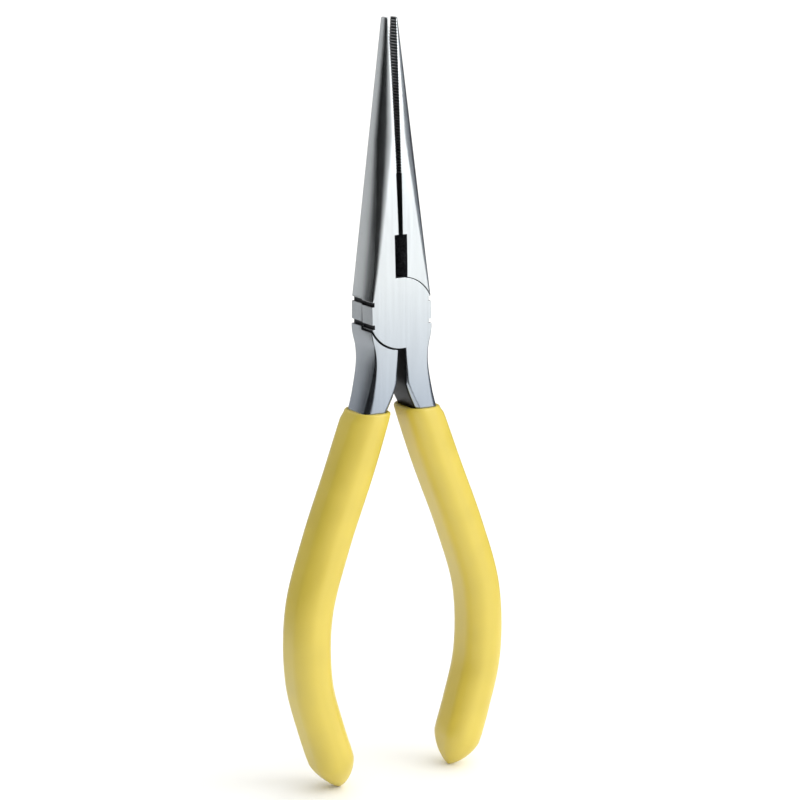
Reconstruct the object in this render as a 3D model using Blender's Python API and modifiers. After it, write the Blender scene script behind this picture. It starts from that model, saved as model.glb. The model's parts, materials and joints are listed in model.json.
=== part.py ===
"""Needle nose pliers: two forged levers on one rivet, each with a dipped plastic grip.

Metres, +Z towards the tips, the front of the tool towards -Y. Both levers are the same
forging: the rear one is turned half a turn about Z. Each is modelled with the jaws shut
and hangs from an empty on the joint's axis, which opens it by half the resting angle.
"""

import math

import bmesh
import bpy
from mathutils import Matrix, Vector

MM = 0.001

# Driving dimensions, in millimetres.
JAW_LENGTH = 61.4          # joint's axis to the tips
HANDLE_LENGTH = 103.6      # joint's axis to the ends of the grips, shut or open by a little
JOINT_THICKNESS = 9.0
JOINT_HALF_WIDTH = 7.05    # flats ground on the sides of the joint
DISC_RADIUS = 7.6          # each lever's half of the lap joint
SHOULDER_RADIUS = 7.7      # hollow shoulders that the other lever's disc turns in
TANG_RELIEF = (0.3, -0.15) # shift of the tang's shoulder away from the disc, along X and Z
# How far the shut jaws reach sideways at the joint and at the tips: width, plus 0.28 of the
# thickness, less 0.41 of the outer edges' radius. It shrinks evenly, so the jaws look straight.
JAW_REACH = (9.45, 1.11)
JAW_TAPER = 1.5            # how late the jaws' thickness tapers
TIP_THICKNESS = 2.4
LAP_GAP = 0.16             # between the two halves of the joint
SHUT_GAP = 0.1             # between the gripping faces when the jaws are shut
RELIEF = 0.22              # hollow of the plain faces below the serrations
RELIEF_TOP = 29.5
NOTCH_HALF_WIDTH = 1.3     # cutter's notch in one jaw, at the front and back faces
NOTCH_BOTTOM, NOTCH_TOP = 7.5, 16.6
SLOT_LOW, SLOT_HIGH = 1.9, 2.9   # slots across the sides of the joint, above and below the axis
SLOT_DEPTH = 0.55
RIVET_RADIUS = 3.0
RIVET_HEAD_RADIUS = 4.4
RIVET_HEAD_DEPTH = 1.4
RIVET_CLEARANCE = 0.05
FRONT_SKIN = 1.0           # steel left in front of the rivet's blind end
GRIP_RIM = 21.0            # below the joint's axis
TANG_HALF_WIDTH = 2.7      # where the tang enters its grip
GRIP_HALF_WIDTH = 4.4
GRIP_HALF_THICKNESS = 5.6
GRIP_WALL = 1.35
GRIP_GAP = 0.15
REST_OPENING = 1.5         # degrees between the levers as the tool lies

# Centre line of a shut handle, right side: (distance below the axis, offset from the middle).
HANDLE_LINE = [(GRIP_RIM, 5.75), (34.0, 10.2), (49.0, 15.7), (63.5, 19.75), (78.0, 19.9), (90.0, 16.9),
               (HANDLE_LENGTH, 12.2)]
# Neck of the tang: (distance below the axis, inner edge, outer edge, edge radius).
NECK = [(0.0, 0.6, 6.9, 0.1), (3.2, 0.6, 7.15, 0.1), (5.2, 0.65, 6.95, 0.15), (7.5, 0.7, 6.42, 0.25),
        (10.0, 0.75, 6.25, 0.4), (12.5, 0.8, 6.47, 0.6), (15.2, 0.85, 6.98, 0.85), (18.0, 1.7, 7.6, 1.1)]

HALF = JOINT_THICKNESS / 2


def smooth_path(points, steps):
    """A smooth curve through the points (Catmull-Rom), as Vectors."""
    pts = [Vector(p) for p in points]
    pts = [pts[0] * 2 - pts[1]] + pts + [pts[-1] * 2 - pts[-2]]
    path = []
    for a, b, c, d in zip(pts, pts[1:], pts[2:], pts[3:]):
        for i in range(steps):
            t = i / steps
            path.append(0.5 * (2 * b + (c - a) * t + (2 * a - 5 * b + 4 * c - d) * t * t
                               + (3 * b - a - 3 * c + d) * t ** 3))
    return path + [pts[-2]]


def section(inner, outer, thickness, inner_radius, outer_radius, arc=6):
    """A rounded rectangle in X and Y, with its own radius on its inner and its outer edges."""
    half = thickness / 2
    corners = [(outer, half, outer_radius, 0), (inner, half, inner_radius, 90),
               (inner, -half, inner_radius, 180), (outer, -half, outer_radius, 270)]
    ring = []
    for x, y, radius, start in corners:
        cx = x - radius if x == outer else x + radius
        cy = y - radius if y > 0 else y + radius
        for i in range(arc + 1):
            angle = math.radians(start + 90 * i / arc)
            ring.append(Vector((cx + radius * math.cos(angle), cy + radius * math.sin(angle), 0)))
    return ring


def loft(rings):
    """A closed bmesh through rings of equal length, capped at both ends."""
    bm = bmesh.new()
    rows = [[bm.verts.new(p * MM) for p in ring] for ring in rings]
    count = len(rows[0])
    for low, high in zip(rows, rows[1:]):
        for i in range(count):
            j = (i + 1) % count
            bm.faces.new((low[i], low[j], high[j], high[i]))
    bm.faces.new(rows[0][::-1])
    bm.faces.new(rows[-1])
    bmesh.ops.recalc_face_normals(bm, faces=bm.faces)
    return bm


def mesh_object(name, bm, collection):
    mesh = bpy.data.meshes.new(name)
    bm.to_mesh(mesh)
    bm.free()
    obj = bpy.data.objects.new(name, mesh)
    collection.objects.link(obj)
    return obj


def cylinder(radius, y_low, y_high, segments=96, top_radius=None):
    """A cylinder or cone on the joint's axis, from y_low to y_high."""
    bm = bmesh.new()
    bmesh.ops.create_cone(bm, cap_ends=True, segments=segments, radius1=radius * MM,
                          radius2=(radius if top_radius is None else top_radius) * MM,
                          depth=(y_high - y_low) * MM)
    turn = Matrix.Rotation(math.radians(-90), 4, "X")
    bmesh.ops.transform(bm, matrix=Matrix.Translation((0, (y_low + y_high) / 2 * MM, 0)) @ turn,
                        verts=bm.verts)
    return bm


def box(x, y, z):
    """A box between the (low, high) pairs x, y and z."""
    bm = bmesh.new()
    bmesh.ops.create_cube(bm, size=1)
    size = Matrix.Diagonal([(b - a) * MM for a, b in (x, y, z)] + [1])
    middle = Matrix.Translation([(a + b) / 2 * MM for a, b in (x, y, z)])
    bmesh.ops.transform(bm, matrix=middle @ size, verts=bm.verts)
    return bm


def side_outline(side):
    """What is ground off one side of the joint (side -1 or 1): a flat between two slots."""
    flat, slot, out = JOINT_HALF_WIDTH, JOINT_HALF_WIDTH - SLOT_DEPTH, JOINT_HALF_WIDTH + 2
    half = [(flat, 0), (flat, SLOT_LOW), (slot, SLOT_LOW), (slot, SLOT_HIGH), (out, SLOT_HIGH)]
    below = [(x, -z) for x, z in half[:0:-1]]
    return [Vector((side * x, 0, z)) for x, z in below + half]


def cut(target, bm, name, cutters, operation="DIFFERENCE"):
    """Adds a Boolean modifier to target, with bm as a hidden cutter object."""
    tool = mesh_object(name, bm, cutters)
    tool.hide_render = True
    tool.display_type = "WIRE"
    tool.parent = target
    modifier = target.modifiers.new(name, "BOOLEAN")
    modifier.operation = operation
    modifier.solver = "EXACT"
    modifier.object = tool


def material(name, colour, roughness, metallic):
    mat = bpy.data.materials.new(name)
    mat.use_nodes = True
    shader = mat.node_tree.nodes["Principled BSDF"]
    shader.inputs["Base Color"].default_value = (*colour, 1)
    shader.inputs["Roughness"].default_value = roughness
    shader.inputs["Metallic"].default_value = metallic
    return mat


def jaw_rings():
    """Sections of the left jaw, square at the joint and rounded towards the tip."""
    root = (SLOT_LOW + SLOT_HIGH) / 2
    stations = [0.0, root] + [SLOT_HIGH + (JAW_LENGTH - SLOT_HIGH) * i / 18 for i in range(19)]
    rings = []
    for z in stations:
        along = (z - SLOT_HIGH) / (JAW_LENGTH - SLOT_HIGH)
        taper = max(0.0, (z - 8.0) / (JAW_LENGTH - 8.0)) ** JAW_TAPER
        thickness = JOINT_THICKNESS + (TIP_THICKNESS - JOINT_THICKNESS) * taper
        edge = min(0.25 + 0.07 * max(0.0, z - SLOT_HIGH), 0.3 * thickness + 0.2)
        width = JAW_REACH[0] + (JAW_REACH[1] - JAW_REACH[0]) * along - 0.28 * thickness + 0.41 * edge
        if along < 0:
            width = JOINT_HALF_WIDTH - 0.1
        edge = min(edge, 0.9 * width)
        ring = section(SHUT_GAP / 2, width, thickness, 0.05, edge)
        rings.append([Vector((-p.x, p.y, z)) for p in ring])
    return rings


def handle_frames(steps=5):
    """Points of a handle's centre line, each with the directions across it and along it.

    The grip's rim is level, as the dipping left it, so the first sections start level too.
    """
    path = smooth_path([(x, 0, -z) for z, x in HANDLE_LINE], steps)
    frames = []
    for i, p in enumerate(path):
        ahead = (path[min(i + 1, len(path) - 1)] - path[max(i - 1, 0)]).normalized()
        ahead = Vector((0, 0, -1)).lerp(ahead, min(1.0, i / steps)).normalized()
        frames.append((p, Vector((-ahead.z, 0, ahead.x)), ahead))
    return frames


def swept_ring(frame, half_width, half_thickness, radius):
    """A rounded section across the handle's centre line."""
    centre, across, _ = frame
    flat = section(-half_width, half_width, 2 * half_thickness, radius, radius)
    return [centre + across * p.x + Vector((0, p.y, 0)) for p in flat]


def tang_rings(offset=0.0):
    """Sections of the right tang: the bare neck, then the core inside the grip."""
    rings = []
    if not offset:
        for z, inner, outer, edge in NECK:
            ring = section(inner, outer, JOINT_THICKNESS, edge, edge)
            rings.append([p + Vector((0, 0, -z)) for p in ring])
    frames = handle_frames()
    core_end = len(frames) - 5
    for i, frame in enumerate(frames[:core_end]):
        blend = min(1.0, i / 6)
        half_width = TANG_HALF_WIDTH + (GRIP_HALF_WIDTH - GRIP_WALL - TANG_HALF_WIDTH) * blend + offset
        half_thickness = GRIP_HALF_THICKNESS - GRIP_WALL + 0.2 * (1 - blend) + offset
        radius = 1.1 + 1.2 * blend + offset
        if offset and i == 0:
            above = (frame[0] - frame[2] * 3.0, frame[1], frame[2])
            rings.append(swept_ring(above, half_width, half_thickness, radius))
        rings.append(swept_ring(frame, half_width, half_thickness, radius))
    if offset:
        last = frames[core_end - 1]
        below = (last[0] + last[2] * offset, last[1], last[2])
        rings.append(swept_ring(below, half_width, half_thickness, radius))
    return rings


def grip_rings():
    """Outer sections of the right grip, from its rolled rim to its blunt end."""
    frames = handle_frames()
    rings = []
    for i in range(5):
        turn = math.radians(90 * i / 4)
        shrink = 0.6 * (1 - math.sin(turn))
        drop = 0.6 * (1 - math.cos(turn))
        centre = frames[0][0] + frames[0][2] * drop
        rings.append(swept_ring((centre, frames[0][1], frames[0][2]), GRIP_HALF_WIDTH - 0.3 - shrink,
                                GRIP_HALF_THICKNESS - 0.1 - shrink, 3.4 - shrink))
    for frame in frames[1:-3]:
        rings.append(swept_ring(frame, GRIP_HALF_WIDTH, GRIP_HALF_THICKNESS, 3.9))
    start, end = frames[-4], frames[-1]
    for i in range(1, 9):
        rest = (1 - i / 8.3) ** 1.5
        size = (1 - (1 - rest) ** 1.6) ** 0.75
        centre = end[0].lerp(start[0], rest)
        rings.append(swept_ring((centre, start[1], start[2]), GRIP_HALF_WIDTH * size,
                                GRIP_HALF_THICKNESS * size, 3.9 * size))
    return rings


def forging(name, pivot, parts, cutters):
    """One lever, shut, with its half disc on the -Y side of the lap."""
    obj = mesh_object(name, loft(jaw_rings()), parts)
    obj.parent = pivot
    cut(obj, loft(tang_rings()), name + "_tang", cutters, "UNION")
    cut(obj, cylinder(DISC_RADIUS, -HALF, -LAP_GAP / 2), name + "_disc", cutters, "UNION")
    lap = cylinder(SHOULDER_RADIUS, -LAP_GAP / 2, HALF + 1)
    cut(obj, lap, name + "_lap", cutters)
    tang_lap = cylinder(SHOULDER_RADIUS, -LAP_GAP / 2, HALF + 2)
    shift = Vector((TANG_RELIEF[0], 0, TANG_RELIEF[1])) * MM
    bmesh.ops.translate(tang_lap, vec=shift, verts=tang_lap.verts)
    cut(obj, tang_lap, name + "_tang_lap", cutters)
    for side in (-1, 1):
        outline = side_outline(side)
        sides = loft([[p + Vector((0, y, 0)) for p in outline] for y in (-HALF - 1, HALF + 1)])
        cut(obj, sides, name + "_side", cutters)
    for face in (-1, 1):
        wide, deep = HALF + 0.2, 0.15
        slope = (NOTCH_HALF_WIDTH - SHUT_GAP / 2) / (HALF - deep)
        outline = [Vector((-NOTCH_HALF_WIDTH - slope * 0.2, face * wide, 0)), Vector((0.5, face * wide, 0)),
                   Vector((0.5, face * deep, 0)), Vector((-SHUT_GAP / 2, face * deep, 0))]
        notch = loft([[p + Vector((0, 0, z)) for p in outline] for z in (NOTCH_BOTTOM, NOTCH_TOP)])
        cut(obj, notch, name + "_notch", cutters)
    relief = box((-SHUT_GAP / 2 - RELIEF, 0.5), (-HALF - 1, HALF + 1), (NOTCH_TOP - 0.2, RELIEF_TOP))
    cut(obj, relief, name + "_relief", cutters)
    return obj


def rivet(name, pivot, parts):
    """The rivet, turned about the joint's axis, with its countersunk head at the back."""
    front = FRONT_SKIN - HALF + RIVET_CLEARANCE
    profile = [(0, HALF), (RIVET_HEAD_RADIUS, HALF), (RIVET_RADIUS, HALF - RIVET_HEAD_DEPTH),
               (RIVET_RADIUS, front), (0, front)]
    bm = bmesh.new()
    verts = [bm.verts.new((x * MM, 0, z * MM)) for x, z in profile]
    for a, b in zip(verts, verts[1:]):
        bm.edges.new((a, b))
    obj = mesh_object(name, bm, parts)
    obj.parent = pivot
    obj.rotation_euler.x = math.radians(-90)
    screw = obj.modifiers.new("turn", "SCREW")
    screw.steps = screw.render_steps = 96
    screw.use_merge_vertices = True
    screw.merge_threshold = 0.00001
    return obj


def grip(name, pivot, parts, cutters):
    """One dipped sleeve on the right tang of a shut lever."""
    obj = mesh_object(name, loft(grip_rings()), parts)
    obj.parent = pivot
    cut(obj, loft(tang_rings(offset=GRIP_GAP)), name + "_bore", cutters)
    return obj


def pivot_empty(name, opening, half_turn, parts):
    """An empty on the joint's axis that opens its lever by this angle in degrees."""
    obj = bpy.data.objects.new(name, None)
    obj.empty_display_size = 10 * MM
    parts.objects.link(obj)
    opened = Matrix.Rotation(math.radians(opening), 4, "Y")
    turned = Matrix.Rotation(math.radians(180 if half_turn else 0), 4, "Z")
    obj.matrix_world = Matrix.Translation((0, -HALF * MM, 0)) @ opened @ turned
    return obj


def finish(obj, mat):
    obj.data.materials.clear()
    obj.data.materials.append(mat)
    obj.data.shade_smooth()
    obj.data.set_sharp_from_angle(angle=math.radians(30))


def main():
    for obj in list(bpy.data.objects):
        bpy.data.objects.remove(obj, do_unlink=True)
    parts = bpy.data.collections.new("needle_nose_pliers")
    cutters = bpy.data.collections.new("cutters")
    for collection in (parts, cutters):
        bpy.context.scene.collection.children.link(collection)

    steel = material("ground_steel", (0.62, 0.64, 0.66), 0.35, 1.0)
    rear_steel = material("ground_steel_rear", (0.52, 0.54, 0.57), 0.35, 1.0)
    pin_steel = material("rivet_steel", (0.45, 0.46, 0.48), 0.4, 1.0)
    plastic = material("yellow_dipped_plastic", (0.84, 0.76, 0.30), 0.4, 0.0)

    front_pivot = pivot_empty("front_pivot", -REST_OPENING / 2, False, parts)
    rear_pivot = pivot_empty("rear_pivot", REST_OPENING / 2, True, parts)

    bore = RIVET_RADIUS + RIVET_CLEARANCE
    front = forging("front_lever", front_pivot, parts, cutters)
    cut(front, cylinder(bore, FRONT_SKIN - HALF, HALF), "front_bore", cutters)
    rear = forging("rear_lever", rear_pivot, parts, cutters)
    cut(rear, cylinder(bore, -HALF - 1, HALF), "rear_bore", cutters)
    sink = cylinder(RIVET_HEAD_RADIUS + 0.3, -HALF - 0.2, -HALF + RIVET_HEAD_DEPTH,
                    top_radius=RIVET_RADIUS + 0.1)
    cut(rear, sink, "rear_countersink", cutters)

    finish(front, steel)
    finish(rear, rear_steel)
    finish(rivet("joint_rivet", front_pivot, parts), pin_steel)
    finish(grip("right_grip", front_pivot, parts, cutters), plastic)
    finish(grip("left_grip", rear_pivot, parts, cutters), plastic)


if __name__ == "__main__":
    main()
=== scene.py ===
"""Looks of a pair of needle nose pliers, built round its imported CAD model.

The levers, the rivet and the grips are modelled shut, in millimetres, about the joint's
axis, and each piece is then opened to where its CAD body rests.
"""

import json
import math

import bmesh
import bpy
from mathutils import Matrix, Vector


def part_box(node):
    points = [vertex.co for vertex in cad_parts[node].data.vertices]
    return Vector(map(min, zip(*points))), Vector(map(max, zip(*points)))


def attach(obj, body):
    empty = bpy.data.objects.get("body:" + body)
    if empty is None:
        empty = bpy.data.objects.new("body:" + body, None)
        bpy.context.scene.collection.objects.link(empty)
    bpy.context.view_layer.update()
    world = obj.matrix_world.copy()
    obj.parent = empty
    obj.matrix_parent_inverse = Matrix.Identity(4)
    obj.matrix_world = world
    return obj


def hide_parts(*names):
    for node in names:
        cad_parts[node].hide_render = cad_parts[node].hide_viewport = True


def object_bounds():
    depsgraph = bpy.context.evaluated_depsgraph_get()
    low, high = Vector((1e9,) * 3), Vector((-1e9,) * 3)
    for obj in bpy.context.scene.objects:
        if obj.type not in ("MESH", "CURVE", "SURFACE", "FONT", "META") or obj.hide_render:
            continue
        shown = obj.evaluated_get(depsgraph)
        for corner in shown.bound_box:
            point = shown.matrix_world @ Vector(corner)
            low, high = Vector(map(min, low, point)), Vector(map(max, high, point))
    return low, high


bl_info = {
    "name": "Needle Nose Pliers",
    "version": (1, 0, 0),
    "blender": (4, 5, 0),
    "location": "View3D > Sidebar > Pliers",
    "description": "Long nose pliers with a lap joint, a side cutter and dipped grips",
    "category": "Add Mesh",
}

MM = 0.001

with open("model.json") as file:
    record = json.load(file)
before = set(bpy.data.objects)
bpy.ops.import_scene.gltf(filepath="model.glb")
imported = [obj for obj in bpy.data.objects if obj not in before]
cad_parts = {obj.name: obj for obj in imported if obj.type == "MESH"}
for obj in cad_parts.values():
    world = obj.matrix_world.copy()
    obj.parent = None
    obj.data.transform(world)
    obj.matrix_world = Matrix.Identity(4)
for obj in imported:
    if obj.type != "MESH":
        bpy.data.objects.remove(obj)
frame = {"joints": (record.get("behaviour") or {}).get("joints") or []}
CAD_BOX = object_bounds()
HINGE = frame["joints"][0]
PIVOT = Vector(HINGE["pos_m"])
REST_OPENING = -math.radians(HINGE["range_deg"][0])
LEVER_LOW, LEVER_HIGH = (Vector(corner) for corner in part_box("front_lever"))
GRIP_LOW, GRIP_HIGH = (Vector(corner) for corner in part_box("right_grip"))


# ---------------------------------------------------------------- settings


class PliersLeverSizes(bpy.types.PropertyGroup):
    """Sizes of one forged lever."""

    jaw_length: bpy.props.FloatProperty(
        name="Jaw length", description="From the joint's axis to the tips",
        default=LEVER_HIGH.z, min=0.02, unit="LENGTH")
    thickness: bpy.props.FloatProperty(
        name="Joint thickness", description="Across the ground faces of the joint",
        default=LEVER_HIGH.y - LEVER_LOW.y, min=0.002, unit="LENGTH")
    joint_width: bpy.props.FloatProperty(
        name="Joint width", description="Across the flats on the sides of the joint",
        default=14.1 * MM, min=0.002, unit="LENGTH")
    disc_radius: bpy.props.FloatProperty(
        name="Disc radius", description="Half disc that each lever gives to the lap joint",
        default=7.6 * MM, min=0.002, unit="LENGTH")
    tip_thickness: bpy.props.FloatProperty(
        name="Tip thickness", description="One jaw's thickness at the tip",
        default=2.4 * MM, min=0.0002, unit="LENGTH")
    tooth_pitch: bpy.props.FloatProperty(
        name="Serration pitch", description="From one tooth of the gripping faces to the next",
        default=0.6 * MM, min=0.0002, unit="LENGTH")
    tooth_depth: bpy.props.FloatProperty(
        name="Serration depth", description="Depth of the gripping faces' teeth",
        default=0.2 * MM, min=0.00002, unit="LENGTH")
    edge_break: bpy.props.FloatProperty(
        name="Edge break", description="Radius that the ground edges seem to be broken to",
        default=0.12 * MM, min=0.0, unit="LENGTH")


class PliersGripSizes(bpy.types.PropertyGroup):
    """Sizes of one dipped grip."""

    width: bpy.props.FloatProperty(
        name="Width", description="Across a grip, in the plane that the handles move in",
        default=8.8 * MM, min=0.002, unit="LENGTH")
    thickness: bpy.props.FloatProperty(
        name="Thickness", description="Through a grip, along the joint's axis",
        default=GRIP_HIGH.y - GRIP_LOW.y, min=0.002, unit="LENGTH")
    wall: bpy.props.FloatProperty(
        name="Wall", description="Thickness of the dipped plastic at the rim",
        default=1.1 * MM, min=0.0002, unit="LENGTH")


class PliersFinish(bpy.types.PropertyGroup):
    """Colours of the finishes, as sRGB hex."""

    steel: bpy.props.StringProperty(
        name="Ground steel", description="Colour of the ground jaws", default="D2D7DA")
    tang_steel: bpy.props.StringProperty(
        name="Tang steel", description="Colour of the ground tangs", default="A7B0BC")
    # Painted shade: the colour of the faces inside the tool, and the base of the notch's colour.
    shade_steel: bpy.props.StringProperty(
        name="Dark steel", description="Colour of the faces inside the tool", default="3A3C40")
    plastic: bpy.props.StringProperty(
        name="Grip plastic", description="Colour of the dipped grips", default="CBB642")


class PliersStage(bpy.types.PropertyGroup):
    """Where the camera stands, and how bright the studio is."""

    azimuth: bpy.props.FloatProperty(
        name="Azimuth", description="Camera's turn round the tool from straight in front",
        default=math.radians(-29.2), subtype="ANGLE", unit="ROTATION")
    elevation: bpy.props.FloatProperty(
        name="Elevation", description="Camera's height angle",
        default=math.radians(12.4), subtype="ANGLE", unit="ROTATION")
    distance: bpy.props.FloatProperty(
        name="Distance", description="From the camera to the point it looks at",
        default=0.585, min=0.05, unit="LENGTH")
    roll: bpy.props.FloatProperty(
        name="Roll", description="Camera's turn about its line of sight",
        default=math.radians(-0.4), subtype="ANGLE", unit="ROTATION")
    lens: bpy.props.FloatProperty(
        name="Lens", description="Focal length in millimetres", default=123.75, min=10.0)
    aim_right: bpy.props.FloatProperty(
        name="Aim right", description="Aim point, right of the joint's axis",
        default=1.93 * MM, unit="LENGTH")
    aim_down: bpy.props.FloatProperty(
        name="Aim down", description="Aim point, below the joint's axis",
        default=19.7 * MM, unit="LENGTH")
    fill: bpy.props.FloatProperty(
        name="Fill", description="Strength of the even light from all sides", default=1.25, min=0.0)
    slant: bpy.props.FloatProperty(
        name="Slant", description="How much brighter the fill is on the right than on the left",
        default=1.0, min=0.0)
    key: bpy.props.FloatProperty(
        name="Key light", description="Power of the soft light on the right, in watts", default=3.0,
        min=0.0)


# ---------------------------------------------------------------- shape tools


def smooth_path(points, steps):
    """A smooth curve through equal-length tuples of numbers (Catmull-Rom)."""
    pts = [Vector(p) for p in points]
    pts = [pts[0] * 2 - pts[1]] + pts + [pts[-1] * 2 - pts[-2]]
    path = []
    for a, b, c, d in zip(pts, pts[1:], pts[2:], pts[3:]):
        for i in range(steps):
            t = i / steps
            path.append(0.5 * (2 * b + (c - a) * t + (2 * a - 5 * b + 4 * c - d) * t * t
                               + (3 * b - a - 3 * c + d) * t ** 3))
    return path + [pts[-2]]


def section(inner, outer, thickness, inner_radius, outer_radius, arc=10, crown=1.0):
    """A rounded rectangle in X and Y, with its own radius on its inner and its outer edges.

    A crown above 1 draws the outer edges' rounding out over the front and the back.
    """
    half = thickness / 2
    corners = [(outer, half, outer_radius, 0), (inner, half, inner_radius, 90),
               (inner, -half, inner_radius, 180), (outer, -half, outer_radius, 270)]
    ring = []
    for x, y, radius, start in corners:
        rx, ry = (radius * crown, radius / crown) if x == outer else (radius, radius)
        cx = x - rx if x == outer else x + rx
        cy = y - ry if y > 0 else y + ry
        for i in range(arc + 1):
            angle = math.radians(start + 90 * i / arc)
            ring.append(Vector((cx + rx * math.cos(angle), cy + ry * math.sin(angle), 0)))
    return ring


def loft(rings):
    """A closed bmesh, in metres, through rings in millimetres, capped at both ends."""
    bm = bmesh.new()
    rows = [[bm.verts.new(p * MM) for p in ring] for ring in rings]
    count = len(rows[0])
    for low, high in zip(rows, rows[1:]):
        for i in range(count):
            j = (i + 1) % count
            bm.faces.new((low[i], low[j], high[j], high[i]))
    bm.faces.new(rows[0][::-1])
    bm.faces.new(rows[-1])
    bmesh.ops.recalc_face_normals(bm, faces=bm.faces)
    return bm


def turned(profile, segments=180):
    """A solid turned about the joint's axis through (radius, y) pairs, flat at both ends."""
    turns = [math.tau * i / segments for i in range(segments)]
    return loft([[Vector((r * math.cos(a), y, r * math.sin(a))) for a in turns] for r, y in profile])


def prism(outline, low, high, along):
    """A prism on an outline of Vectors, from low to high along the given unit vector."""
    return loft([[p + along * d for p in outline] for d in (low, high)])


def new_object(name, bm, *materials):
    mesh = bpy.data.meshes.new(name)
    bm.to_mesh(mesh)
    bm.free()
    for mat in materials:
        mesh.materials.append(mat)
    obj = bpy.data.objects.new(name, mesh)
    bpy.context.scene.collection.objects.link(obj)
    return obj


def carve(obj, bm, mat, operation="DIFFERENCE"):
    """Cuts bm from obj, or joins it on, and gives the new faces the cutter's finish."""
    tool = new_object("tool", bm, mat)
    modifier = obj.modifiers.new("carve", "BOOLEAN")
    modifier.operation = operation
    modifier.solver = "EXACT"
    modifier.material_mode = "TRANSFER"
    modifier.object = tool
    apply_modifiers(obj)
    bpy.data.objects.remove(tool)


def apply_modifiers(obj):
    graph = bpy.context.evaluated_depsgraph_get()
    mesh = bpy.data.meshes.new_from_object(obj.evaluated_get(graph), depsgraph=graph)
    obj.modifiers.clear()
    old = obj.data
    obj.data = mesh
    bpy.data.meshes.remove(old)


def paint(obj, mat, test):
    """Gives a finish to the faces whose centre and normal pass the test, in millimetres."""
    if mat.name not in obj.data.materials:
        obj.data.materials.append(mat)
    index = list(obj.data.materials).index(mat)
    for face in obj.data.polygons:
        if test(face.center / MM, face.normal):
            face.material_index = index


def shade(obj, angle=30.0):
    obj.data.shade_smooth()
    obj.data.set_sharp_from_angle(angle=math.radians(angle))


def seat(obj, body):
    """Opens a shut piece to its place at rest and lets it ride on its body."""
    opening = REST_OPENING / 2 * (-1 if body == "front" else 1)
    matrix = Matrix.Translation(PIVOT) @ Matrix.Rotation(opening, 4, "Y")
    if body == "rear":
        matrix = matrix @ Matrix.Rotation(math.pi, 4, "Z")
    obj.data.transform(matrix)
    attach(obj, body)


# ---------------------------------------------------------------- finishes


def linear(colour):
    """Linear RGBA from an sRGB hex string."""
    values = [int(colour[i:i + 2], 16) / 255 for i in (0, 2, 4)]
    return [v / 12.92 if v <= 0.04045 else ((v + 0.055) / 1.055) ** 2.4 for v in values] + [1]


def node(mat, kind, settings=None, **links):
    """Adds a node to a material, with its settings by name and its inputs by value or link."""
    new = mat.node_tree.nodes.new(kind)
    for name, value in (settings or {}).items():
        setattr(new, name, value)
    for name, value in links.items():
        socket = new.inputs[int(name[1:])] if name[0] == "_" else new.inputs[name.replace("_", " ")]
        if isinstance(value, bpy.types.NodeSocket):
            mat.node_tree.links.new(value, socket)
        else:
            socket.default_value = value
    return new


def blank(name):
    """A new material with only its shader and output."""
    mat = bpy.data.materials.new(name)
    mat.use_nodes = True
    return mat, mat.node_tree.nodes["Principled BSDF"]


def ramp(mat, factor, low, high, low_at=0.0, high_at=1.0):
    """A ramp from one linear colour to another over part of the factor's range."""
    new = node(mat, "ShaderNodeValToRGB", _0=factor)
    new.color_ramp.elements[0].position, new.color_ramp.elements[1].position = low_at, high_at
    new.color_ramp.elements[0].color, new.color_ramp.elements[1].color = low, high
    return new.outputs["Color"]


def level(value):
    return (value, value, value, 1)


def stretched_noise(mat, width, length, detail):
    """Noise drawn out along Z, its grains this wide and long in millimetres."""
    place = node(mat, "ShaderNodeTexCoord").outputs["Object"]
    sized = node(mat, "ShaderNodeMapping", _0=place,
                 Scale=(1 / (width * MM), 1 / (width * MM), 1 / (length * MM)))
    return node(mat, "ShaderNodeTexNoise", _0=sized.outputs[0], Scale=1.0, Detail=detail).outputs["Fac"]


def edge_highlight(mat, radius):
    """A painted highlight's mask: 1 along convex and concave edges, 0 on the flats, with the rounded normal
    that shows it.
    """
    rounded = node(mat, "ShaderNodeBevel", {"samples": 6}, Radius=radius).outputs[0]
    flat = node(mat, "ShaderNodeNewGeometry").outputs["Normal"]
    likeness = node(mat, "ShaderNodeVectorMath", {"operation": "DOT_PRODUCT"}, _0=rounded, _1=flat)
    edge_highlight_mask = node(mat, "ShaderNodeMapRange", _0=likeness.outputs["Value"], _1=0.98, _2=0.8, _3=0.0, _4=1.0)
    return edge_highlight_mask.outputs[0], rounded


TONE_LOW, TONE_HIGH = -20 * MM, 8 * MM      # heights between which the steel's tone changes


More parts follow.
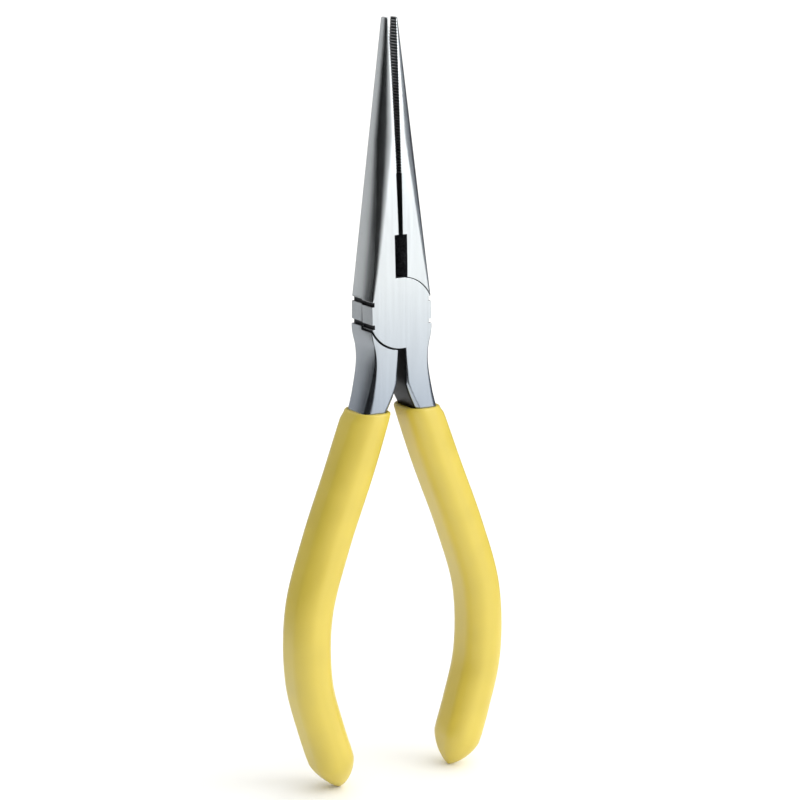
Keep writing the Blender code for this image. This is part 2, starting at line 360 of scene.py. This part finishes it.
def ground_steel(name, finish, edge_break):
    """Carbon steel ground along its length on a belt, then lightly polished.

    The belt leaves fine parallel scratches, about 0.1 mm wide and some millimetres long,
    which stretch the reflections and streak the gloss. The colour is bluer and darker on the
    tangs than on the jaws, and every edge gets a painted highlight that brightens its colour.
    """
    mat, shader = blank(name)
    scratches = stretched_noise(mat, 0.12, 9, 3.0)
    streaks = stretched_noise(mat, 0.7, 24, 2.0)
    clouds = stretched_noise(mat, 5, 11, 2.0)
    height = node(mat, "ShaderNodeSeparateXYZ", _0=node(mat, "ShaderNodeTexCoord").outputs["Object"])
    up = node(mat, "ShaderNodeMapRange", _0=height.outputs["Z"], _1=TONE_LOW, _2=TONE_HIGH).outputs[0]
    tone = ramp(mat, up, linear(finish.tang_steel), linear(finish.steel))
    streaked = node(mat, "ShaderNodeMixRGB", {"blend_type": "MULTIPLY"}, _0=1.0, _1=tone,
                    _2=ramp(mat, streaks, level(0.92), level(1.0), 0.35, 0.65)).outputs[0]
    edge_highlight_mask, rounded = edge_highlight(mat, edge_break)
    # Painted highlight: every edge's colour is screened a little towards grey.
    share = node(mat, "ShaderNodeMath", {"operation": "MULTIPLY"}, _0=edge_highlight_mask, _1=0.3).outputs[0]
    brighter = node(mat, "ShaderNodeMixRGB", {"blend_type": "SCREEN"}, _0=share, _1=streaked,
                    _2=level(0.5))
    mat.node_tree.links.new(brighter.outputs[0], shader.inputs["Base Color"])
    mixed = node(mat, "ShaderNodeMath", {"operation": "ADD"}, _0=streaks, _1=clouds).outputs[0]
    rough = node(mat, "ShaderNodeMapRange", _0=mixed, _1=0.7, _2=1.3, _3=0.17, _4=0.25).outputs[0]
    mat.node_tree.links.new(rough, shader.inputs["Roughness"])
    bump = node(mat, "ShaderNodeBump", Strength=0.04, Distance=0.02 * MM, Height=scratches, Normal=rounded)
    mat.node_tree.links.new(bump.outputs[0], shader.inputs["Normal"])
    shader.inputs["Metallic"].default_value = 1.0
    return mat


def inside_shade_steel(colour):
    """Painted shade: the same steel, dull and dark, on the faces inside the tool, in its hollows and between
    the levers.
    """
    mat, shader = blank("painted_shade_steel_inside")
    place = node(mat, "ShaderNodeTexCoord").outputs["Object"]
    grain = node(mat, "ShaderNodeTexNoise", _0=place, Scale=1 / (0.5 * MM), Detail=4.0).outputs["Fac"]
    painted_shade = [c * 0.5 for c in linear(colour)[:3]] + [1]
    mat.node_tree.links.new(ramp(mat, grain, painted_shade, linear(colour), 0.3, 0.7), shader.inputs["Base Color"])
    bump = node(mat, "ShaderNodeBump", Strength=0.3, Distance=0.03 * MM, Height=grain)
    mat.node_tree.links.new(bump.outputs[0], shader.inputs["Normal"])
    shader.inputs["Metallic"].default_value = 0.9
    shader.inputs["Roughness"].default_value = 0.45
    return mat


def cutter_steel(colour):
    """Forging scale left in the cutter's notch, darkened further as painted shade of the recess: black,
    coarse and pitted, with bright specks.
    """
    mat, shader = blank("forging_scale_and_shade")
    place = node(mat, "ShaderNodeTexCoord").outputs["Object"]
    grain = node(mat, "ShaderNodeTexNoise", _0=place, Scale=1 / (0.45 * MM), Detail=5.0,
                 Roughness=0.65).outputs["Fac"]
    painted_shade = [c * 0.35 for c in linear(colour)[:3]] + [1]
    light = [c * 1.9 for c in linear(colour)[:3]] + [1]
    mat.node_tree.links.new(ramp(mat, grain, painted_shade, light, 0.42, 0.68), shader.inputs["Base Color"])
    bump = node(mat, "ShaderNodeBump", Strength=0.8, Distance=0.12 * MM, Height=grain)
    mat.node_tree.links.new(bump.outputs[0], shader.inputs["Normal"])
    shader.inputs["Metallic"].default_value = 0.6
    shader.inputs["Roughness"].default_value = 0.6
    return mat


def dipped_plastic(colour):
    """Plasticised PVC, dipped: a soft gloss skin with a faint orange peel and slow waves."""
    mat, shader = blank("dipped_pvc")
    place = node(mat, "ShaderNodeTexCoord").outputs["Object"]
    peel = node(mat, "ShaderNodeTexNoise", _0=place, Scale=1 / (0.7 * MM), Detail=2.0).outputs["Fac"]
    waves = node(mat, "ShaderNodeTexNoise", _0=place, Scale=1 / (7 * MM), Detail=1.0).outputs["Fac"]
    deep = [c * 0.93 for c in linear(colour)[:3]] + [1]
    mat.node_tree.links.new(ramp(mat, waves, deep, linear(colour), 0.3, 0.7), shader.inputs["Base Color"])
    rough = node(mat, "ShaderNodeMapRange", _0=waves, _1=0.3, _2=0.7, _3=0.34, _4=0.42).outputs[0]
    mat.node_tree.links.new(rough, shader.inputs["Roughness"])
    peeled = node(mat, "ShaderNodeBump", Strength=0.1, Distance=0.02 * MM, Height=peel)
    bump = node(mat, "ShaderNodeBump", Strength=0.25, Distance=0.25 * MM, Height=waves)
    mat.node_tree.links.new(peeled.outputs[0], bump.inputs["Normal"])
    mat.node_tree.links.new(bump.outputs[0], shader.inputs["Normal"])
    shader.inputs["IOR"].default_value = 1.53
    shader.inputs["Specular IOR Level"].default_value = 0.8
    shader.inputs["Subsurface Weight"].default_value = 0.12
    shader.inputs["Subsurface Radius"].default_value = (1.0, 0.8, 0.3)
    shader.inputs["Subsurface Scale"].default_value = 1.2 * MM
    return mat


def paper(name, colour):
    """Matt card or paper, for the studio."""
    mat, shader = blank(name)
    shader.inputs["Base Color"].default_value = linear(colour)
    shader.inputs["Roughness"].default_value = 0.9
    return mat


# ---------------------------------------------------------------- levers

# Neck of the right tang: (distance below the axis, inner edge, outer edge, edge radius), in mm.
NECK = [(0.0, 0.6, 6.9, 0.1), (3.2, 0.6, 7.15, 0.1), (5.2, 0.65, 6.95, 0.15), (7.5, 0.7, 6.42, 0.25),
        (10.0, 0.75, 6.25, 0.4), (12.5, 0.8, 6.47, 0.6), (15.2, 0.85, 6.98, 0.85), (18.0, 1.7, 7.6, 1.1)]
# Centre line of a shut right handle: (distance below the axis, offset from the middle), in mm.
HANDLE_LINE = [(21.0, 5.75), (34.0, 10.2), (49.0, 15.7), (63.5, 19.75), (78.0, 19.9), (90.0, 16.9),
               (103.6, 12.2)]
SHUT_GAP = 0.1              # between the shut gripping faces, in mm
LAP_GAP = 0.16              # between the halves of the joint
# How far the shut jaws reach sideways at the joint and at the tips: width, plus a share of the
# thickness, less a share of the outer edges' radius. It shrinks evenly, so the jaws look straight.
JAW_REACH = (9.45, 1.11)
THICKNESS_SHARE, EDGE_SHARE = 0.28, 0.33
JAW_TAPER = 1.5             # how late the jaws' thickness tapers
TAPER_START = 8.0           # height where it starts
JAW_CROWN = 1.5             # how far the outer edges' rounding is drawn out over the faces
EDGE_ROOT, EDGE_GROWTH = 0.3, 0.055     # the outer edges' radius at the joint, and per mm above it
TIP_ROUND = 0.35            # height of the rounding at the tips
FINE_EDGE = 0.06            # radius of the gripping faces' edges
TANG_HALF_WIDTH = 2.7       # where the tang enters its grip
SLOT_LOW, SLOT_HIGH = 1.9, 2.9
SLOT_DEPTH = 0.55
RELIEF, RELIEF_TOP = 0.22, 29.5
NOTCH_BOTTOM, NOTCH_TOP = 7.5, 16.6
NOTCH_HALF_WIDTH = 1.3
NOTCH_WEB = 0.15            # half the thickness of the cutting edge between the two notches
DISC_EDGE = 0.12            # chamfer round the disc's face
RIVET_RADIUS, RIVET_HEAD, RIVET_HEAD_DEPTH = 3.0, 4.4, 1.4


def jaw_rings(sizes):
    """Sections of the left jaw, square at the joint and rounded towards the tip."""
    length, thick, tip_thick = (v / MM for v in (sizes.jaw_length, sizes.thickness, sizes.tip_thickness))
    rings = []
    count = 60
    stations = [0.0, SLOT_LOW + 0.3]        # the first two are inside the joint
    stations += [SLOT_HIGH - 0.2 + (length - 0.15 - SLOT_HIGH) * i / count for i in range(count + 1)]
    for z in stations:
        along = (z - SLOT_HIGH) / (length - SLOT_HIGH)
        taper = max(0.0, (z - TAPER_START) / (length - TAPER_START)) ** JAW_TAPER
        thickness = thick + (tip_thick - thick) * taper
        width = JAW_REACH[0] + (JAW_REACH[1] - JAW_REACH[0]) * along - THICKNESS_SHARE * thickness
        edge = min(EDGE_ROOT + EDGE_GROWTH * max(0.0, z - SLOT_HIGH), 0.78 * (width - SHUT_GAP))
        width += EDGE_SHARE * edge
        if z < (SLOT_LOW + SLOT_HIGH) / 2:
            width = sizes.joint_width / MM / 2 - 0.1
        ring = section(SHUT_GAP / 2, width, thickness, FINE_EDGE, edge, crown=JAW_CROWN)
        rings.append([Vector((-p.x, p.y, z)) for p in ring])
    for i in range(1, 5):
        turn = math.radians(90 * i / 4)
        shrink = 0.12 * (1 - math.cos(turn))
        ring = section(SHUT_GAP / 2, width - shrink, tip_thick - 4 * shrink, FINE_EDGE, edge - shrink,
                       crown=JAW_CROWN)
        top = length - TIP_ROUND + TIP_ROUND * math.sin(turn)
        rings.append([Vector((-p.x, p.y, top)) for p in ring])
    return rings


def handle_frames(steps):
    """Points of a handle's centre line, each with the directions across it and along it."""
    path = [Vector((x, 0, -z)) for z, x in smooth_path(HANDLE_LINE, steps)]
    frames = []
    for i, p in enumerate(path):
        ahead = (path[min(i + 1, len(path) - 1)] - path[max(i - 1, 0)]).normalized()
        ahead = Vector((0, 0, -1)).lerp(ahead, min(1.0, i / steps)).normalized()
        frames.append((p, Vector((-ahead.z, 0, ahead.x)), ahead))
    return frames


def swept_ring(frame_, half_width, half_thickness, radius, arc=10):
    """A rounded section across the handle's centre line."""
    centre, across, _ = frame_
    flat = section(-half_width, half_width, 2 * half_thickness, radius, radius, arc)
    return [centre + across * p.x + Vector((0, p.y, 0)) for p in flat]


def tang_rings(sizes):
    """Sections of the right tang: the bare neck, and the first stretch inside the grip."""
    thick = sizes.thickness / MM
    rings = []
    for z, inner, outer, edge in smooth_path(NECK, 6):
        ring = section(inner, outer, thick, edge, edge)
        rings.append([p + Vector((0, 0, -z)) for p in ring])
    for frame_ in handle_frames(6)[:4]:
        rings.append(swept_ring(frame_, TANG_HALF_WIDTH, thick / 2 - 0.02, 1.3))
    return rings


def side_outline(sizes, side):
    """What is ground off one side of the joint (side -1 or 1): a flat between two slots."""
    flat = sizes.joint_width / MM / 2
    slot, out = flat - SLOT_DEPTH, flat + 2
    half = [(flat, 0), (flat, SLOT_LOW), (slot, SLOT_LOW), (slot, SLOT_HIGH), (out, SLOT_HIGH)]
    below = [(x, -z) for x, z in half[:0:-1]]
    return [Vector((side * x, 0, z)) for x, z in below + half]


def gripping_outline(sizes):
    """What is cut from a jaw's gripping face: the plain hollow, then the teeth above it."""
    pitch, depth = sizes.tooth_pitch / MM, sizes.tooth_depth / MM
    count = math.ceil((sizes.jaw_length / MM - RELIEF_TOP) / pitch)
    face, out = -SHUT_GAP / 2, 0.6
    outline = [(out, NOTCH_TOP - 0.2), (face - RELIEF, NOTCH_TOP - 0.2), (face - RELIEF, RELIEF_TOP - 0.1)]
    for i in range(count):
        low = RELIEF_TOP + i * pitch
        outline += [(face + 0.01, low), (face + 0.01, low + 0.05), (face - depth, low + pitch * 0.5)]
    outline += [(face + 0.01, outline[-1][1] + pitch / 2), (out, outline[-1][1] + pitch / 2)]
    return [Vector((x, 0, z)) for x, z in outline]


def lap_outline(sizes):
    """Outline of the hollow that the other lever's disc turns in, eased on the tang's side."""
    radius, ease = sizes.disc_radius / MM + 0.1, Vector((0.3, 0, -0.15))
    outline = []
    for i in range(192):
        turn = math.tau * i / 192
        ray = Vector((math.cos(turn), 0, math.sin(turn)))
        along = ray.dot(ease)
        eased = along + math.sqrt(radius ** 2 - ease.length_squared + along ** 2)
        outline.append(ray * max(radius, eased))
    return outline


def forging(name, body, sizes, steel, painted_shade, scale_and_shade):
    """One lever, shut, with its half disc on the -Y side of the lap."""
    half = sizes.thickness / MM / 2
    disc = sizes.disc_radius / MM
    obj = new_object(name, loft(jaw_rings(sizes)), steel)
    carve(obj, loft(tang_rings(sizes)), steel, "UNION")
    carve(obj, turned([(disc - DISC_EDGE, -half), (disc, -half + DISC_EDGE), (disc, -LAP_GAP / 2)]),
          steel, "UNION")
    # Painted shade on the faces that these cuts leave: the hollow that the other disc turns in, and the
    # slots beside the joint.
    carve(obj, prism(lap_outline(sizes), -LAP_GAP / 2, half + 1, Vector((0, 1, 0))), painted_shade)
    for side in (-1, 1):
        carve(obj, prism(side_outline(sizes, side), -half - 1, half + 1, Vector((0, 1, 0))), painted_shade)
    paint(obj, steel, lambda at, facing: abs(facing.x) > 0.99 and abs(at.z) < 1.5)
    for face in (-1, 1):
        slope = (NOTCH_HALF_WIDTH - SHUT_GAP / 2) / (half - NOTCH_WEB)
        outline = [Vector((-NOTCH_HALF_WIDTH - slope * 0.2, face * (half + 0.2), 0)),
                   Vector((0.5, face * (half + 0.2), 0)), Vector((0.5, face * NOTCH_WEB, 0)),
                   Vector((-SHUT_GAP / 2, face * NOTCH_WEB, 0))]
        # The notches get forging scale, darkened as painted shade.
        carve(obj, prism(outline, NOTCH_BOTTOM, NOTCH_TOP, Vector((0, 0, 1))), scale_and_shade)
    # Painted shade on the gripping faces, between the jaws.
    carve(obj, prism(gripping_outline(sizes), -half - 1, half + 1, Vector((0, 1, 0))), painted_shade)
    if body == "rear":
        bore, sunk = RIVET_RADIUS + 0.05, RIVET_HEAD + 0.06
        # Painted shade in the rivet's bore and countersink.
        carve(obj, turned([(sunk + 0.2, -half - 0.2), (bore, -half + RIVET_HEAD_DEPTH), (bore, half)]), painted_shade)
    # Painted shade on the tang's inner faces, which face the other handle.
    paint(obj, painted_shade, lambda at, facing: at.z < -7 and at.x > 0.3 and facing.x < -0.75)
    shade(obj)
    seat(obj, body)
    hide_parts(body + "_lever")
    return obj


class PLIERS_OT_levers(bpy.types.Operator):
    """Make both forged levers, with their jaws, half discs and tangs"""

    bl_idname = "pliers.levers"
    bl_label = "Levers"

    def execute(self, context):
        sizes, finish = context.scene.pliers_lever, context.scene.pliers_finish
        steel = ground_steel("ground_carbon_steel", finish, sizes.edge_break)
        # Painted shade for the faces inside the tool, and forging scale darkened with painted shade for the
        # cutter's notch.
        painted_shade = inside_shade_steel(finish.shade_steel)
        scale_and_shade = cutter_steel(finish.shade_steel)
        forging("front_forging", "front", sizes, steel, painted_shade, scale_and_shade)
        forging("rear_forging", "rear", sizes, steel, painted_shade, scale_and_shade)
        return {"FINISHED"}


class PLIERS_OT_rivet(bpy.types.Operator):
    """Make the rivet that the levers turn on"""

    bl_idname = "pliers.rivet"
    bl_label = "Rivet"

    def execute(self, context):
        sizes, finish = context.scene.pliers_lever, context.scene.pliers_finish
        half = sizes.thickness / MM / 2
        steel = ground_steel("ground_rivet_steel", finish, sizes.edge_break)
        profile = [(RIVET_HEAD - 0.06, half), (RIVET_HEAD, half - 0.05),
                   (RIVET_RADIUS, half - RIVET_HEAD_DEPTH), (RIVET_RADIUS, 1.1 - half)]
        obj = new_object("headed_rivet", turned(profile), steel)
        shade(obj)
        seat(obj, "front")
        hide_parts("joint_rivet")
        return {"FINISHED"}


# ---------------------------------------------------------------- grips


MOUTH_FIT = 0.06            # how far the grip's mouth closes on the tang, in mm
MOUTH_DEPTH = 4.0           # how far inside the rim the grip's skin starts
RIM_ROUND = 0.55            # height of the rolled rim
MOUTH_CORNER, RIM_CORNER, GRIP_CORNER = 1.25, 2.2, 3.9   # radii at the mouth, added over the rim, below


def grip_rings(sizes):
    """Sections of the right grip, from inside its mouth, over the rolled rim, to the blunt end."""
    half_width, half_thick = sizes.width / MM / 2, sizes.thickness / MM / 2
    frames = handle_frames(12)
    top = frames[0]
    inner, outer = TANG_HALF_WIDTH - MOUTH_FIT, half_width - 0.35
    deep, proud = half_thick - sizes.wall / MM - MOUTH_FIT, half_thick - 0.12
    rings = [swept_ring((top[0] + frames[6][2] * MOUTH_DEPTH, top[1], top[2]), inner, deep, 1.2, 12)]
    for i in range(13):
        turn = math.radians(180 * i / 12)
        swing = (1 - math.cos(turn)) / 2
        centre = top[0] + top[2] * (RIM_ROUND * (1 - math.sin(turn)))
        rings.append(swept_ring((centre, top[1], top[2]), inner + (outer - inner) * swing,
                                deep + (proud - deep) * swing, MOUTH_CORNER + RIM_CORNER * swing, 12))
    for frame_ in frames[2:-7]:
        rings.append(swept_ring(frame_, half_width, half_thick, GRIP_CORNER, 12))
    start, end = frames[-7], frames[-1]
    for i in range(1, 17):
        rest = (1 - i / 16.5) ** 1.5
        size = (1 - (1 - rest) ** 1.6) ** 0.75
        centre = end[0].lerp(start[0], rest)
        rings.append(swept_ring((centre, start[1], start[2]), half_width * size, half_thick * size,
                                GRIP_CORNER * size, 12))
    return rings


class PLIERS_OT_grips(bpy.types.Operator):
    """Make both dipped plastic grips"""

    bl_idname = "pliers.grips"
    bl_label = "Grips"

    def execute(self, context):
        sizes, finish = context.scene.pliers_grip, context.scene.pliers_finish
        plastic = dipped_plastic(finish.plastic)
        for side, body in (("right", "front"), ("left", "rear")):
            obj = new_object(side + "_sleeve", loft(grip_rings(sizes)), plastic)
            shade(obj, 60)
            seat(obj, body)
            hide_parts(side + "_grip")
        return {"FINISHED"}


# ---------------------------------------------------------------- stage

# Cards round the tool that give its steel dark and grey bands: azimuths in degrees and colour.
CARD_RADIUS, CARD_HEIGHT = 0.17, 0.5        # in metres
CARDS = {"black_card": (-146, -8, "060606"), "left_grey_card": (-205, -146, "ACACAC"),
         "right_grey_card": (46, 74, "9498A0"), "right_dark_card": (74, 165, "4C4C54")}
FADE = (-8, 19)                             # the black card fades to white over these azimuths


def aim(obj, target):
    obj.rotation_mode = "QUATERNION"
    obj.rotation_quaternion = (target - obj.location).to_track_quat("-Z", "Y")


def soft_box(name, place, target, size, power):
    """A large square studio light."""
    data = bpy.data.lights.new(name, "AREA")
    data.size = size
    data.energy = power
    obj = bpy.data.objects.new(name, data)
    obj.location = place
    aim(obj, target)
    bpy.context.scene.collection.objects.link(obj)
    return obj


def curved_card(name, start, stop, mat):
    """A studio card on an arc round the tool, which only shows in reflections.

    Its ends are azimuths in degrees, counted as the camera's are.
    """
    bm = bmesh.new()
    low = CAD_BOX[0][2]
    columns = []
    for i in range(25):
        a = math.radians(start + (stop - start) * i / 24)
        foot = PIVOT + Vector((math.sin(a), -math.cos(a), 0)) * CARD_RADIUS
        columns.append([bm.verts.new((foot.x, foot.y, z)) for z in (low, low + CARD_HEIGHT)])
    for (a, b), (c, d) in zip(columns, columns[1:]):
        bm.faces.new((a, c, d, b))
    obj = new_object(name, bm, mat)
    for ray in ("camera", "diffuse", "shadow", "transmission"):
        setattr(obj, "visible_" + ray, False)


def faded_paper(name, left, right):
    """Matt card that fades from black at X = left to white at X = right, in metres."""
    mat, shader = blank(name)
    across = node(mat, "ShaderNodeSeparateXYZ", _0=node(mat, "ShaderNodeTexCoord").outputs["Object"])
    along = node(mat, "ShaderNodeMapRange", _0=across.outputs["X"], _1=left, _2=right).outputs[0]
    mat.node_tree.links.new(ramp(mat, along, level(0.01), level(0.9)), shader.inputs["Base Color"])
    shader.inputs["Roughness"].default_value = 0.9
    return mat


def slanted_sky(fill, slant):
    """A white studio on all sides, brighter towards the right and the front."""
    world = bpy.data.worlds.new("soft_white_studio")
    world.use_nodes = True
    way = node(world, "ShaderNodeTexCoord").outputs["Generated"]
    side = node(world, "ShaderNodeVectorMath", {"operation": "DOT_PRODUCT"}, _0=way,
                _1=Vector((0.9, -0.44, 0.0)))
    strength = node(world, "ShaderNodeMapRange", _0=side.outputs["Value"], _1=-1.0, _2=1.0,
                    _3=fill - slant, _4=fill + slant).outputs[0]
    sky = world.node_tree.nodes["Background"]
    sky.inputs["Color"].default_value = level(1.0)
    world.node_tree.links.new(strength, sky.inputs["Strength"])
    return world


class PLIERS_OT_stage(bpy.types.Operator):
    """Make the pale floor, the studio light and the camera"""

    bl_idname = "pliers.stage"
    bl_label = "Stage"

    def execute(self, context):
        scene, stage = context.scene, context.scene.pliers_stage
        scene.view_settings.view_transform = "Standard"
        scene.world = slanted_sky(stage.fill, stage.slant)

        bm = bmesh.new()
        bmesh.ops.create_grid(bm, x_segments=8, y_segments=8, size=4.0)
        floor = new_object("floor", bm, paper("white_paper", "F6F6F4"))
        floor.location.z = CAD_BOX[0][2]

        soft_box("key_light", PIVOT + Vector((0.75, -0.75, 0.55)), PIVOT, 0.8, stage.key)
        for name, (start, stop, colour) in CARDS.items():
            curved_card(name, start, stop, paper(name, colour))
        ends = [math.sin(math.radians(a)) * CARD_RADIUS for a in FADE]
        curved_card("fading_card", *FADE, faded_paper("fading_card", *ends))

        data = bpy.data.cameras.new("camera")
        data.lens, data.sensor_width = stage.lens, 36.0
        data.clip_start, data.clip_end = 0.01, 20.0
        camera = bpy.data.objects.new("camera", data)
        target = PIVOT + Vector((stage.aim_right, 0, -stage.aim_down))
        a, e = stage.azimuth, stage.elevation
        back = Vector((math.sin(a) * math.cos(e), -math.cos(a) * math.cos(e), math.sin(e)))
        turn = (-back).to_track_quat("-Z", "Y") @ Matrix.Rotation(stage.roll, 3, "Z").to_quaternion()
        camera.rotation_mode = "QUATERNION"
        camera.location = target + back * stage.distance
        camera.rotation_quaternion = turn
        scene.collection.objects.link(camera)
        scene.camera = camera
        return {"FINISHED"}


# ---------------------------------------------------------------- add-on


class PLIERS_PT_panel(bpy.types.Panel):
    """Lists what this add-on makes"""

    bl_idname = "PLIERS_PT_panel"
    bl_label = "Needle Nose Pliers"
    bl_space_type = "VIEW_3D"
    bl_region_type = "UI"
    bl_category = "Pliers"

    def draw(self, context):
        for group in (context.scene.pliers_lever, context.scene.pliers_grip,
                      context.scene.pliers_finish, context.scene.pliers_stage):
            box = self.layout.box()
            for name in group.__annotations__:
                box.prop(group, name)
        for operator in STEPS:
            self.layout.operator(operator.bl_idname)


STEPS = (PLIERS_OT_stage, PLIERS_OT_levers, PLIERS_OT_rivet, PLIERS_OT_grips)
GROUPS = {"pliers_lever": PliersLeverSizes, "pliers_grip": PliersGripSizes,
          "pliers_finish": PliersFinish, "pliers_stage": PliersStage}
CLASSES = (*GROUPS.values(), *STEPS, PLIERS_PT_panel)


def register():
    for cls in CLASSES:
        bpy.utils.register_class(cls)
    for name, group in GROUPS.items():
        setattr(bpy.types.Scene, name, bpy.props.PointerProperty(type=group))


def unregister():
    for name in GROUPS:
        delattr(bpy.types.Scene, name)
    for cls in reversed(CLASSES):
        bpy.utils.unregister_class(cls)


def main():
    register()
    bpy.ops.pliers.stage()
    bpy.ops.pliers.levers()
    bpy.ops.pliers.rivet()
    bpy.ops.pliers.grips()


if __name__ == "__main__":
    main()
